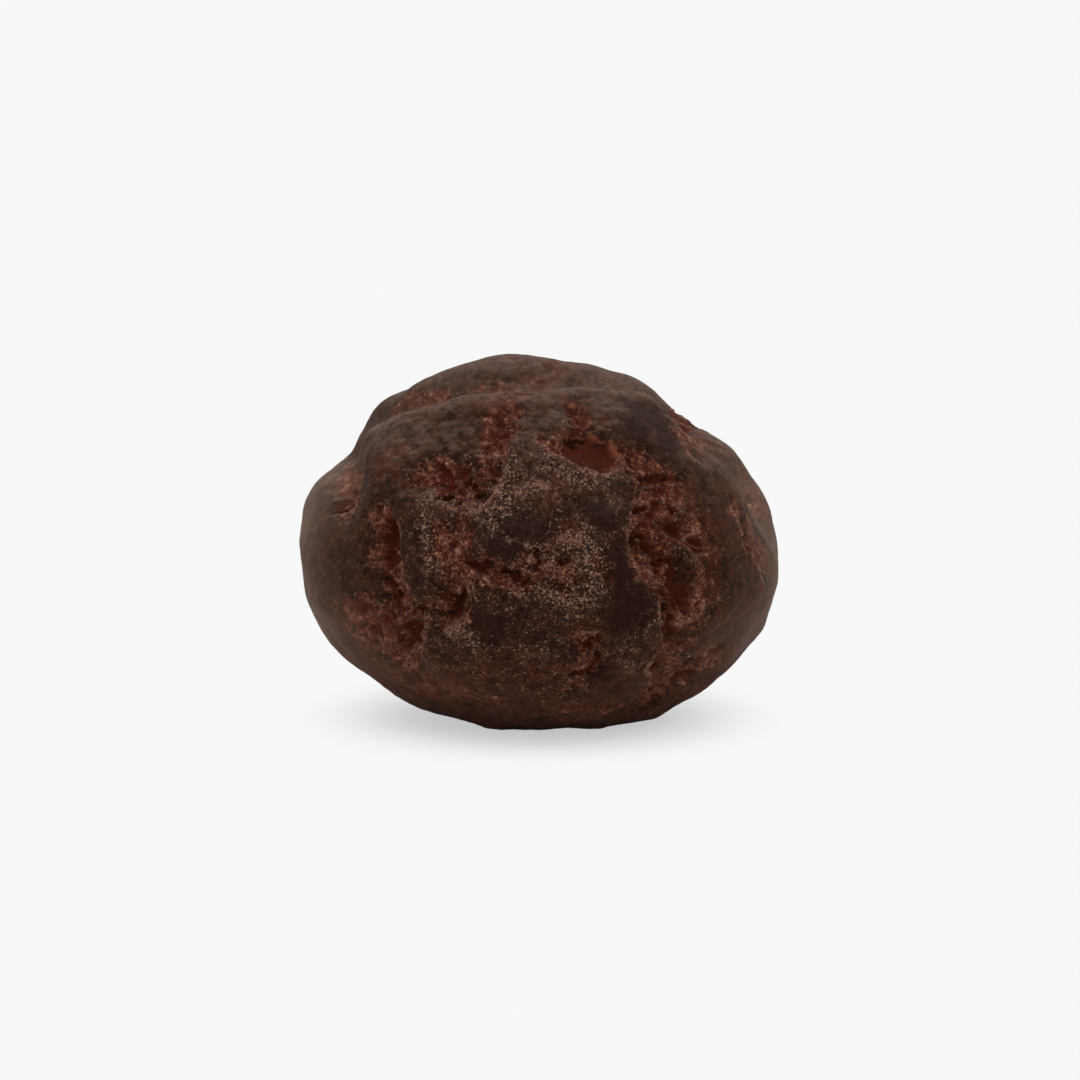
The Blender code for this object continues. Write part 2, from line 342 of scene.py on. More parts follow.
def directions_of(longitude, latitude):
    """Unit vector from the middle of the berry towards a place on its coat."""
    turn = math.radians(longitude)
    tilt = math.radians(latitude)
    return np.array([math.sin(turn) * math.cos(tilt), -math.cos(turn) * math.cos(tilt), math.sin(tilt)])


def smooth_radius(directions):
    """Radius of the smooth egg form, whose lower half is cut off by its flat."""
    across = np.hypot(directions[:, 0] / (WIDTH / 2), directions[:, 1] / (DEPTH / 2))
    upper = directions[:, 2] > 0
    half_height = np.where(upper, RISE_ABOVE_MIDDLE, DROP_BELOW_MIDDLE)
    fullness = np.where(upper, UPPER_FULLNESS, LOWER_FULLNESS)
    upright = np.abs(directions[:, 2]) / half_height
    return (across**fullness + upright**fullness) ** (-1 / fullness)


def places_on_form(stations):
    """Points of the smooth form at these stations."""
    directions = np.array([directions_of(*station) for station in stations])
    return directions * smooth_radius(directions)[:, None]


def distance_to_path(points, stations):
    """Distance from each wavered point to the run of lines through the wavered stations."""
    corners = wavered(places_on_form(stations), WAVERS)
    nearest = np.full(len(points), np.inf)
    for start, end in zip(corners[:-1], corners[1:]):
        along = end - start
        share = np.clip((points - start) @ along / (along @ along), 0, 1)
        nearest = np.minimum(nearest, np.linalg.norm(points - start - share[:, None] * along, axis=1))
    return nearest


def left_of_path(points, stations):
    """How far each wavered point lies on the left-hand side of the path, seen from outside."""
    corners = wavered(places_on_form(stations), WAVERS)
    nearest = np.full(len(points), np.inf)
    leftward = np.zeros(len(points))
    for start, end in zip(corners[:-1], corners[1:]):
        along = end - start
        share = np.clip((points - start) @ along / (along @ along), 0, 1)
        offset = points - start - share[:, None] * along
        distance = np.linalg.norm(offset, axis=1)
        closer = distance < nearest
        nearest = np.where(closer, distance, nearest)
        side = np.sign(offset @ np.cross(start, along))
        leftward = np.where(closer, distance * side, leftward)
    return leftward


def bump(distance, width):
    """1 on the path, falling softly to 0 about one width away."""
    return np.exp(-((distance / (width / 2)) ** 2))


def trench(distance, width):
    """1 over the flat floor of a channel, falling over steep walls to 0 outside it."""
    return 1 / (1 + (distance / (width / 2)) ** 4)


def ease(value):
    """0 below 0, 1 above 1, and a soft step between them."""
    value = np.clip(value, 0, 1)
    return value * value * (3 - 2 * value)


def rolling(points, size):
    """Soft noise from about -1 to 1, with lumps of this size."""
    return np.array([noise.noise(place) for place in (points / size).tolist()])


def pebbled(points, size):
    """Rounded pebbles of this size: about 1 on top of each, and near 0 between them."""
    return np.array([1 - noise.voronoi(place)[0][0] for place in (points / size).tolist()])


def wavered(points, wavers):
    """The points moved a little sideways, so that straight paths come out crooked."""
    moved = points.copy()
    for size, reach in wavers:
        moved += reach * np.array([noise.noise_vector(place) for place in (points / size).tolist()])
    return moved


def wandering_crack(draw, longitude, latitude):
    """One crack that wanders off from its start: stations, width, depth."""
    heading = draw.uniform(0, 360)
    stations = []
    for _ in range(draw.randint(2, 4)):
        stations.append((longitude, latitude))
        heading += draw.uniform(-FAR_TURN, FAR_TURN)
        longitude += FAR_STEP * math.cos(math.radians(heading)) / math.cos(math.radians(latitude))
        latitude += FAR_STEP * math.sin(math.radians(heading))
    return stations, draw.uniform(*FAR_WIDTHS), draw.uniform(*FAR_DEPTHS)


def far_cracks():
    """The cracks of the far side, row by row."""
    draw = random.Random(FAR_SEED)
    first, last = FAR_LONGITUDES
    cracks = []
    for row_latitude, count in FAR_ROWS:
        for number in range(count):
            longitude = first + (number + 0.5) * (last - first) / count
            longitude += draw.uniform(-FAR_SCATTER, FAR_SCATTER)
            latitude = row_latitude + draw.uniform(-FAR_SCATTER, FAR_SCATTER)
            cracks.append(wandering_crack(draw, longitude, latitude))
    return cracks


def unfolded_cube(rows):
    """A cube of gridded faces: its points on a whole-number lattice, quads, and the quads' map."""
    lattice, quads, places = [], [], []
    step = np.arange(rows + 1)
    across, up = np.meshgrid(step, step, indexing="ij")
    for face in range(6):
        axis, side = face % 3, 1 if face < 3 else -1
        grid = np.empty((rows + 1, rows + 1, 3), int)
        grid[..., axis] = side * rows
        grid[..., (axis + 1) % 3] = side * (2 * across - rows)
        grid[..., (axis + 2) % 3] = 2 * up - rows
        number = face * (rows + 1) ** 2 + across * (rows + 1) + up
        ring = (number[:-1, :-1], number[1:, :-1], number[1:, 1:], number[:-1, 1:])
        quads.append(np.stack(ring, axis=-1).reshape(-1, 4))
        lattice.append(grid.reshape(-1, 3))
        inset = 0.02 + 0.96 * np.stack([across, up], axis=-1).reshape(-1, 2) / rows
        places.append((inset + (face % 3, face // 3)) / (3, 2))
    quads = np.concatenate(quads)
    lattice, shared = np.unique(np.concatenate(lattice), axis=0, return_inverse=True)
    return lattice, shared.reshape(-1)[quads], np.concatenate(places)[quads]


def along_paths(points, paths, spread=0):
    """1 on the nearest of these paths, falling softly to 0 beside it."""
    nearness = np.zeros(len(points))
    for stations, width in paths:
        nearness = np.maximum(nearness, bump(distance_to_path(points, stations) + spread, width))
    return nearness


def whole_radius(points, crooked, smooth):
    """Radius of the coat with its lumps, lobes, ridges and folds, before anything broke off."""
    radius = smooth.copy()
    for size, height in LUMPS:
        radius += height * rolling(points, size)
    for place, size, height in LOBES.values():
        radius += height * bump(np.linalg.norm(points - places_on_form([place])[0], axis=1), 2 * size)
    for stations, width, height in RIDGES.values():
        radius += height * bump(distance_to_path(crooked, stations), width)
    for stations, width, depth in FOLDS.values():
        radius -= depth * bump(distance_to_path(crooked, stations), width)
    return radius


def on_the_flat(points):
    """The points leaning, cut by the rounded flat, with the middle of the berry over the origin."""
    points = points.copy()
    points[:, 0] += LEAN * points[:, 2]
    height = points[:, 2] + MIDDLE_HEIGHT
    turning = np.clip(height + FLAT_ROUNDING, 0, 2 * FLAT_ROUNDING) ** 2 / (4 * FLAT_ROUNDING)
    points[:, 2] = np.where(height > FLAT_ROUNDING, height, turning)
    middle = (points.min(axis=0) + points.max(axis=0)) / 2
    points[:, :2] -= middle[:2]
    return points


def coat_surface(directions):
    """Points of the coat, masks of its surface there, and the berry's outward directions.

    What is added to the points inside rolling() only keeps one noise from lying over another.
    """
    smooth = smooth_radius(directions)
    points = directions * smooth[:, None]
    crooked = wavered(points, WAVERS)
    ragged = wavered(crooked, RAGGED)
    radius = whole_radius(points, crooked, smooth)

    # Channels, and the places that are only rubbed
    fray = sum(reach * rolling(points + size, size) for size, reach in FRAY)
    outside = np.full(len(points), np.inf)
    trough = np.zeros(len(points))
    for stations, width, depth in list(CHANNELS.values()) + far_cracks():
        distance = distance_to_path(ragged, stations)
        trough = np.maximum(trough, FALL * depth * trench(distance, width))
        outside = np.minimum(outside, distance - WORN_REACH * width)
    broken = ease(0.5 - (outside + fray) / FRAY_SOFTNESS)
    rubbed = np.zeros(len(points))
    for stations, width, strength in RUBBED.values():
        beyond = distance_to_path(ragged, stations) - width / 2 + RUBBED_FRAY * fray
        rubbed = np.maximum(rubbed, strength * ease(0.5 - beyond / RUBBED_SOFTNESS))

    # Raised rims, and the broken edges with the fall beside them
    behind = ease((directions[:, 1] - 0.05) / 0.2)
    patchy = ease(0.4 + 2.5 * rolling(points + 5 * MM, FAR_RIM_PATCH))
    rim = FAR_RIM * behind * patchy * np.exp(-(((outside + fray - FAR_RIM_OFFSET) / RIM_WIDTH) ** 2))
    drop = np.zeros(len(points))
    for stations, reach, step in SCARPS.values():
        leftward = left_of_path(ragged, stations)
        past_edge = ease(0.5 + leftward / WALL)
        drop += step * past_edge * np.exp(-((leftward / reach) ** 2))
        broken = np.maximum(broken, past_edge * ease(1.6 - leftward / (0.5 * reach)))
        rim = np.maximum(rim, np.exp(-(((leftward + 0.8 * RIM_WIDTH) / RIM_WIDTH) ** 2)))
    rim = np.maximum(rim, along_paths(ragged, STREAKS))
    worn = np.maximum(broken, rubbed)
    rough = np.maximum(broken, RUBBED_ROUGHNESS * rubbed)
    trough += drop * (0.4 + 0.6 * rough)

    # Pits, the open bubble with its flakes, and small hollows in the crumb
    pit = np.zeros(len(points))
    sunk = np.zeros(len(points))
    jag = sum(reach * rolling(points + 2 * size, size) for size, reach in JAG)
    for stations, width, depth in PITS.values():
        inside = width / 2 - distance_to_path(ragged, stations) + jag
        hole = ease(0.5 + inside / WALL)
        pit = np.maximum(pit, hole)
        sunk = np.maximum(sunk, PIT_FALL * depth * hole)
    stations, width, depth = BUBBLE
    inside = width / 2 - distance_to_path(ragged, stations) + BUBBLE_JAG * jag
    bubble = ease(0.5 + inside / WALL)
    trough += depth * bubble
    flake = np.zeros(len(points))
    for stations, width, rise in FLAKES:
        leaning = ease(0.5 + (width / 2 - distance_to_path(crooked, stations)) / (0.5 * WALL))
        flake = np.maximum(flake, leaning)
        trough -= rise * leaning * bubble
    hollow = ease((rolling(points + 3 * MM, HOLLOW_SIZE) - 0.15) / 0.22) * rough * (1 - bubble)
    pit = np.maximum(pit, 0.8 * hollow)
    sunk = np.maximum(sunk, HOLLOW_DEPTH * hollow)

    # Crumb where it is rough, grain on the plates
    crumb = sum(height * (pebbled(points, size) - CRUMB_LEVEL) for size, height in CRUMB)
    grain = sum(height * rolling(points, size) for size, height in GRAIN)
    calm = 1 - SIDE_CALM * ease((SIDE_SHARE - np.abs(directions[:, 1])) / 0.25)
    radius -= trough + WORN_DROP * rough + sunk
    radius += calm * (rough * (1 - bubble) * crumb + (1 - 0.7 * rough) * grain)
    radius += RIM_HEIGHT * rim * (1 - 0.5 * worn)

    masks = {
        "worn": worn,
        "broken": broken,
        "rim": rim,
        "pit": pit,
        "bubble": bubble,
        "flake": flake,
        "crumb": crumb / sum(height for _, height in CRUMB),
        "grain": grain / sum(height for _, height in GRAIN),
        "bare": along_paths(ragged, BARE),
        "dust_and_crest_light": along_paths(ragged, DUST_AND_CREST_HIGHLIGHT) * (1 - 0.5 * ease((LOW_DUST - directions[:, 2]) / 0.15)),
        "fresh": along_paths(ragged, FRESH, 0.5 * fray),
        "front": -directions[:, 1],
    }
    outward = directions / np.array([WIDTH / 2, DEPTH / 2, MIDDLE_HEIGHT]) ** 2
    outward /= np.linalg.norm(outward, axis=1)[:, None]
    return on_the_flat(directions * radius[:, None]), masks, outward


def mesh_piece(name, points, faces, smooth=True):
    """A mesh object in the scene."""
    mesh = bpy.data.meshes.new(name)
    mesh.from_pydata(points.tolist(), [], faces.tolist())
    if smooth:
        mesh.shade_smooth()
    piece = bpy.data.objects.new(name, mesh)
    bpy.context.scene.collection.objects.link(piece)
    return piece


def give_mask(piece, name, values):
    """Stores one number for each vertex, for the material to read by name."""
    piece.data.attributes.new(name, "FLOAT", "POINT").data.foreach_set("value", values.astype(np.float32))


noise.seed_set(WAVER_SEED)
lattice, quads, unfolded = unfolded_cube(COAT_ROWS)
directions = np.tan(lattice / COAT_ROWS * math.pi / 4)
directions /= np.linalg.norm(directions, axis=1)[:, None]
coat_points, coat_masks, coat_outward = coat_surface(directions)
coat = mesh_piece("chocolate_coat", coat_points, quads)
for mask_name, mask_values in coat_masks.items():
    give_mask(coat, mask_name, mask_values)
outward_of_berry = coat.data.attributes.new("outward", "FLOAT_VECTOR", "POINT")
outward_of_berry.data.foreach_set("vector", coat_outward.astype(np.float32).ravel())
coat.data.uv_layers.new(name="OFBake").data.foreach_set("uv", unfolded.astype(np.float32).ravel())


def nodes_of(material):
    """The material's nodes and links."""
    material.use_nodes = True
    return material.node_tree.nodes, material.node_tree.links


def math_node(nodes, links, operation, first, second=0.0):
    """A Math node; first and second are sockets or plain numbers."""
    node = nodes.new("ShaderNodeMath")
    node.operation = operation
    for socket, value in zip(node.inputs, (first, second)):
        if isinstance(value, (int, float)):
            socket.default_value = value
        else:
            links.new(value, socket)
    return node.outputs[0]


def remap(nodes, links, value, low, high, to_low=0.0, to_high=1.0):
    """Map Range with a smooth step."""
    node = nodes.new("ShaderNodeMapRange")
    node.interpolation_type = "SMOOTHSTEP"
    links.new(value, node.inputs["Value"])
    for name, number in zip(("From Min", "From Max", "To Min", "To Max"), (low, high, to_low, to_high)):
        node.inputs[name].default_value = number
    return node.outputs["Result"]


def mixed(nodes, links, factor, first, second):
    """Colour mix; first and second are sockets or RGB triples."""
    node = nodes.new("ShaderNodeMix")
    node.data_type = "RGBA"
    links.new(factor, node.inputs["Factor"])
    for socket, colour in ((node.inputs[6], first), (node.inputs[7], second)):
        if isinstance(colour, tuple):
            socket.default_value = (*colour, 1)
        else:
            links.new(colour, socket)
    return node.outputs[2]


def noise_texture(nodes, links, place, scale, detail, roughness):
    """Soft noise about 0.5; scale is how many of its lumps lie on a millimetre."""
    node = nodes.new("ShaderNodeTexNoise")
    node.inputs["Scale"].default_value = scale
    node.inputs["Detail"].default_value = detail
    node.inputs["Roughness"].default_value = roughness
    links.new(place, node.inputs["Vector"])
    return node.outputs["Fac"]


def make_group(name, inputs, outputs):
    """An empty shader group with these sockets, and its inner nodes, links, input and output."""
    group = bpy.data.node_groups.new(name, "ShaderNodeTree")
    for label, kind in inputs:
        group.interface.new_socket(name=label, in_out="INPUT", socket_type=kind)
    for label, kind in outputs:
        group.interface.new_socket(name=label, in_out="OUTPUT", socket_type=kind)
    given = group.nodes.new("NodeGroupInput")
    out = group.nodes.new("NodeGroupOutput")
    return group, group.nodes, group.links, given, out


def crystal_mosaic():
    """Tiny angular crystals packed together: two random tones for each, and how near its middle is."""
    group, nodes, links, given, out = make_group(
        "crystal_mosaic",
        [("Place", "NodeSocketVector"), ("Per mm", "NodeSocketFloat")],
        [("Tone", "NodeSocketFloat"), ("Other tone", "NodeSocketFloat"), ("Middle", "NodeSocketFloat")],
    )
    wobble = nodes.new("ShaderNodeTexNoise")
    links.new(given.outputs["Place"], wobble.inputs["Vector"])
    wobble.inputs["Scale"].default_value = 14.0
    shift = nodes.new("ShaderNodeVectorMath")
    shift.operation = "MULTIPLY_ADD"
    links.new(wobble.outputs["Color"], shift.inputs[0])
    shift.inputs[1].default_value = (0.11, 0.11, 0.11)
    links.new(given.outputs["Place"], shift.inputs[2])
    cells = nodes.new("ShaderNodeTexVoronoi")
    links.new(shift.outputs[0], cells.inputs["Vector"])
    links.new(given.outputs["Per mm"], cells.inputs["Scale"])
    split = nodes.new("ShaderNodeSeparateColor")
    links.new(cells.outputs["Color"], split.inputs["Color"])
    links.new(split.outputs["Red"], out.inputs["Tone"])
    links.new(split.outputs["Green"], out.inputs["Other tone"])
    links.new(remap(nodes, links, cells.outputs["Distance"], 0.90, 0.50), out.inputs["Middle"])
    return group


def use_group(nodes, links, group, **given):
    """A node of the group; given are sockets or plain numbers, by the names of its inputs."""
    node = nodes.new("ShaderNodeGroup")
    node.node_tree = group
    for label, value in given.items():
        socket = node.inputs[label.replace("_", " ")]
        if isinstance(value, (int, float)):
            socket.default_value = value
        else:
            links.new(value, socket)
    return node


def places_in_mm(nodes, links):
    """Where a point is on the piece, in millimetres."""
    scale = nodes.new("ShaderNodeVectorMath")
    scale.operation = "SCALE"
    scale.inputs["Scale"].default_value = 1 / MM
    links.new(nodes.new("ShaderNodeTexCoord").outputs["Object"], scale.inputs[0])
    return scale.outputs[0]


def mask_of(nodes, name):
    """One of the numbers stored for each vertex."""
    node = nodes.new("ShaderNodeAttribute")
    node.attribute_name = name
    return node.outputs["Fac"]


# Linear colours of the plates, the crumb, the open bubble and the bloom, and of the painted shade,
# painted light and painted sheen laid into them
PLATE_DARK = (0.0140, 0.0043, 0.0028)
PLATE_BROWN = (0.053, 0.0205, 0.0128)
SPECK = (0.33, 0.200, 0.148)
RUST = (0.084, 0.0225, 0.0102)
RUST_DEEP = (0.088, 0.0180, 0.0074)
RUST_PALE = (0.23, 0.088, 0.050)
CRUST_PALE = (0.44, 0.225, 0.150)
# Painted shade: near-black for the gaps between crumbs and crystals, the pits of the bubble floor and
# under the berry
PAINTED_GAP_SHADE = (0.016, 0.0029, 0.0012)
PIT_DARK = (0.078, 0.0138, 0.0058)
BUBBLE_FLOOR = (0.054, 0.0135, 0.0068)
FLAKE_ORANGE = (0.185, 0.054, 0.027)
RIM_PALE = (0.27, 0.127, 0.086)
SETTLED_DUST = (0.128, 0.076, 0.060)
BARE_DARK = (0.0185, 0.0066, 0.0052)
# Painted reflection of the bright sky on bare skin that faces up
BARE_SKY_REFLECTION = (0.030, 0.0180, 0.0172)
# Redder tone for the lower side, partly painted light that lifts it
UNDERSIDE_RED_AND_LIFT = (0.083, 0.0232, 0.0117)
# Painted sheen added where the coat is seen at a low angle
PAINTED_EDGE_SHEEN = (0.098, 0.072, 0.057)

MOSAIC = crystal_mosaic()


def coat_material():
    """Dark plates, rust-brown crumb where they broke off, and a pale bloom of fine crystals, with painted
    shade, painted light and a painted sheen laid into the colour.
    """
    material = bpy.data.materials.new("worn_dark_chocolate")
    nodes, links = nodes_of(material)
    shader = nodes["Principled BSDF"]
    place = places_in_mm(nodes, links)

    def times(first, second):
        return math_node(nodes, links, "MULTIPLY", first, second)

    def larger(first, second):
        return math_node(nodes, links, "MAXIMUM", first, second)

    def plus(*values):
        total = values[0]
        for value in values[1:]:
            total = math_node(nodes, links, "ADD", total, value)
        return total

    def about_zero(value, strength):
        return times(plus(value, -0.5), strength)

    def noisy(scale, detail, roughness):
        return noise_texture(nodes, links, place, scale, detail, roughness)

    def eased(value, low, high, to_low=0.0, to_high=1.0):
        return remap(nodes, links, value, low, high, to_low, to_high)

    def blend(factor, first, second):
        return mixed(nodes, links, factor, first, second)

    def mask(name):
        return mask_of(nodes, name)

    broad = noisy(0.55, 3.0, 0.6)
    middling = noisy(2.6, 3.0, 0.6)
    fine = noisy(7.0, 3.0, 0.65)
    grit = noisy(15.0, 2.0, 0.6)
    crystals = use_group(nodes, links, MOSAIC, Place=place, Per_mm=13.0).outputs
    powder = use_group(nodes, links, MOSAIC, Place=place, Per_mm=21.0).outputs
    worn, fresh, dust_and_crest_highlight = mask("worn"), mask("fresh"), mask("dust_and_crest_light")
    covered = eased(mask("bare"), 0.1, 0.9, 1.0, 0.2)
    crisp = eased(mask("front"), 0.55, 0.95, 0.28, 1.0)
    granular = plus(about_zero(crystals["Other tone"], 0.55), about_zero(powder["Other tone"], 0.45))
    granular = times(granular, crisp)
    upward = nodes.new("ShaderNodeSeparateXYZ")
    links.new(nodes.new("ShaderNodeTexCoord").outputs["Normal"], upward.inputs[0])
    rise = upward.outputs["Z"]

    # Plates: dark to brown and in places reddened, smooth where bare, and dusty on top. Painted light and
    # shade are laid in too: the grain's height makes its tops browner and its hollows darker, bare skin
    # that faces up is greyed as a painted sky reflection, plates that face down are lighter, and the dust
    # on top is partly painted light from above.
    # Partly painted light and shade: the grain's height in this tone makes the grain's tops browner and
    # its hollows darker
    tone = plus(about_zero(middling, 1.3), about_zero(fine, 1.1), times(mask("grain"), 0.30),
                times(granular, 0.75))
    plate = blend(eased(tone, -0.42, 0.46), PLATE_DARK, PLATE_BROWN)
    reddened = times(eased(noisy(1.1, 3.0, 0.7), 0.46, 0.64), 0.45)
    plate = blend(reddened, plate, RUST)
    # Painted reflection: bare skin that faces up is greyed, as if it mirrored the bright sky
    bare_skin_and_sky_reflection = blend(eased(rise, 0.25, 0.6), BARE_DARK, BARE_SKY_REFLECTION)
    plate = blend(times(mask("bare"), 0.80), plate, bare_skin_and_sky_reflection)
    patches = eased(middling, 0.30, 0.60, 0.25, 0.9)
    # Partly painted light: plates that face down are redder and lighter, which lifts the lower side
    plate = blend(times(eased(rise, -0.25, -0.75), patches), plate, UNDERSIDE_RED_AND_LIFT)
    # Partly painted light: pale dust on plates that face up, which also lightens the top as light from
    # above would
    settled_dust_and_top_light = times(eased(rise, 0.53, 0.98), eased(middling, 0.3, 0.7, 0.25, 0.85))
    plate = blend(times(settled_dust_and_top_light, covered), plate, SETTLED_DUST)

    # Crumb: rust-brown, and dark red in its pits. Its height paints it pale on its lumps (painted light)
    # and near-black in its gaps (painted shade).
    crumb_tone = plus(times(mask("crumb"), 1.6), granular, about_zero(middling, 1.2),
                      about_zero(fine, 1.1), about_zero(grit, 0.6), times(fresh, 0.22))
    rust = blend(mask("broken"), RUST, RUST_DEEP)
    # Partly painted light: the high lumps of crumb are paled, mixed with random tone
    rust = blend(eased(crumb_tone, 0.08, 0.62), rust, RUST_PALE)
    rust = blend(eased(crumb_tone, 0.52, 0.90, 0.0, 0.9), rust, CRUST_PALE)
    # Painted shade in the low gaps between crumbs
    rust = blend(eased(crumb_tone, -0.06, -0.45, 0.0, 0.9), rust, PAINTED_GAP_SHADE)
    # Painted light: crumb that faces down is lightened, which lifts the lower side
    rust = blend(eased(rise, 0.05, -0.45, 0.0, 0.16), rust, RUST_PALE)
    rust = blend(mask("pit"), rust, PIT_DARK)

    # The plates end in a frayed edge and leave islands in the crumb. Away from the front, dust
    # lies over both as a haze.
    islands = eased(noisy(1.9, 2.0, 0.5), 0.52, 0.64, 0.0, 0.55)
    islands = times(islands, eased(fresh, 0.1, 0.7, 1.0, 0.0))
    frayed = plus(worn, times(fresh, 0.2), about_zero(fine, 1.3), times(granular, 0.5),
                  times(islands, -1.0))
    colour = blend(eased(frayed, 0.15, 0.90), plate, rust)
    hazy = times(dust_and_crest_highlight, eased(middling, 0.3, 0.6, 0.3, 1.0))
    hazy = times(hazy, plus(times(crisp, -1.0), 1.0))
    colour = blend(times(hazy, covered), colour, SETTLED_DUST)

    # Bloom: pale crystals of two sizes, most where it is dusty, and fine pale creases. The dark gaps
    # between the crystals are painted shade, strongest where the bloom lies thick.
    dust_and_crest_light = plus(times(dust_and_crest_highlight, 0.8), times(broad, 1.1), times(middling, 2.2), times(fine, 1.5))
    hidden = plus(mask("pit"), times(worn, 0.4))
    amount = times(eased(dust_and_crest_light, 1.9, 4.2, 0.06, 0.62), covered)
    amount = times(amount, eased(hidden, 0.0, 1.0, 1.0, 0.3))
    thick = eased(dust_and_crest_highlight, 0.35, 1.0)
    layers = []
    for layer, strength in ((crystals, 0.54), (powder, 0.50)):
        shown = eased(plus(amount, times(layer["Tone"], -1.0)), 0.0, 0.12)
        glint = eased(layer["Other tone"], 0.15, 0.95, 0.10, 1.15)
        glint = times(glint, plus(times(thick, 0.32), strength))
        layers.append(times(times(shown, layer["Middle"]), glint))
    creases = math_node(nodes, links, "ABSOLUTE", plus(noisy(8.0, 3.0, 0.7), -0.5))
    creases = times(eased(creases, 0.025, 0.004), eased(amount, 0.05, 0.5, 0.06, 0.35))
    specks = times(larger(larger(*layers), creases), crisp)
    # Painted shade in the gaps between the crystals
    shade_between_crystals = eased(plus(granular, times(thick, -0.12)), 0.12, -0.17)
    shade_between_crystals = times(times(shade_between_crystals, crisp), plus(times(thick, 0.62), 0.34))
    colour = blend(shade_between_crystals, colour, PAINTED_GAP_SHADE)
    colour = blend(specks, colour, SPECK)

    # Pale chipped rims
    chips = eased(plus(fine, times(crystals["Tone"], 0.25)), 0.49, 0.76)
    colour = blend(times(mask("rim"), chips), colour, RIM_PALE)

    # The open bubble: a smooth dark floor, pale walls and orange flakes
    walls = times(mask("bubble"), eased(mask("bubble"), 0.65, 0.95, 1.4, 0.0))
    walls = times(walls, eased(middling, 0.42, 0.56, 0.2, 1.0))
    bubble_floor = blend(eased(middling, 0.35, 0.65), PIT_DARK, BUBBLE_FLOOR)
    # Painted shade: the pits in the bubble's floor are darkened
    bubble_floor = blend(times(mask("pit"), 0.6), bubble_floor, PAINTED_GAP_SHADE)
    colour = blend(mask("bubble"), colour, bubble_floor)
    colour = blend(walls, colour, RUST_PALE)
    colour = blend(times(mask("flake"), mask("bubble")), colour, FLAKE_ORANGE)

    # Painted sheen: where the coat is seen at a low angle a pale colour is added, in place of the sheen
    # of its bloom at the edges. It follows the berry's outward direction and not its small lumps, and
    # fades towards the flat and the top.
    outward = nodes.new("ShaderNodeAttribute")
    outward.attribute_name = "outward"
    turned = nodes.new("ShaderNodeVectorTransform")
    turned.vector_type = "NORMAL"
    turned.convert_from = "OBJECT"
    turned.convert_to = "WORLD"
    links.new(outward.outputs["Vector"], turned.inputs["Vector"])
    grazing = nodes.new("ShaderNodeLayerWeight")
    grazing.inputs["Blend"].default_value = 0.5
    links.new(turned.outputs["Vector"], grazing.inputs["Normal"])
    upright = nodes.new("ShaderNodeSeparateXYZ")
    links.new(outward.outputs["Vector"], upright.inputs[0])
    above_flat = eased(upright.outputs["Z"], -0.95, -0.40)
    below_top = eased(upright.outputs["Z"], 0.45, 0.90, 1.0, 0.24)
    painted_sheen_share = times(eased(grazing.outputs["Facing"], 0.30, 1.0), times(above_flat, below_top))
    with_painted_sheen = nodes.new("ShaderNodeMix")
    with_painted_sheen.data_type = "RGBA"
    with_painted_sheen.blend_type = "ADD"
    links.new(times(painted_sheen_share, covered), with_painted_sheen.inputs["Factor"])
    links.new(colour, with_painted_sheen.inputs[6])
    with_painted_sheen.inputs[7].default_value = (*PAINTED_EDGE_SHEEN, 1)

    # Painted shade: little light gets in under the berry, so its colour is darkened where it faces down.
    shaded = eased(rise, -0.97, -0.82, 0.95, 0.0)
    links.new(blend(shaded, with_painted_sheen.outputs[2], PAINTED_GAP_SHADE), shader.inputs["Base Color"])

    links.new(eased(fine, 0.3, 0.7, 0.55, 0.80), shader.inputs["Roughness"])
    shader.inputs["Specular IOR Level"].default_value = 0.03
    shader.inputs["Sheen Weight"].default_value = 0.06
    shader.inputs["Sheen Roughness"].default_value = 0.30
    shader.inputs["Sheen Tint"].default_value = (1.0, 0.80, 0.68, 1)

    # Relief that is too fine for the mesh
    relief = nodes.new("ShaderNodeBump")
    relief.inputs["Strength"].default_value = 0.8
    relief.inputs["Distance"].default_value = 0.04 * MM
    packed = plus(times(crystals["Middle"], crystals["Tone"]), times(powder["Middle"], 0.4))
    height = plus(times(grit, 0.7), fine, times(specks, 0.5), times(packed, 0.6))
    links.new(times(height, crisp), relief.inputs["Height"])
    links.new(relief.outputs["Normal"], shader.inputs["Normal"])
    return material


coat.data.materials.append(coat_material())
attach(coat, "root")
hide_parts("chocolate_goldenberry")

# ---- Loose crumbs --------------------------------------------------------------------------------
# Crumbs of cocoa and sugar that broke out of the coat and stuck in its channels and along the edges
# of its plates. Each is a small uneven lump, rust-brown to pale, pressed a little into the coat.

CRUMB_COUNT = 6000
CRUMB_SEED = 23
CRUMB_RADII = (0.030 * MM, 0.075 * MM)
CRUMB_SINKING = 0.15
# None stick below the first or above the second of these heights.
CRUMB_HEIGHTS = (0.5 * MM, 12.8 * MM)


def lump_shape():
    """Corners and faces of the ball that every crumb starts from."""
    ball = bmesh.new()
    bmesh.ops.create_icosphere(ball, subdivisions=1, radius=1)
    corners = np.array([vert.co for vert in ball.verts])
    faces = np.array([[vert.index for vert in face.verts] for face in ball.faces])
    ball.free()
    return corners, faces


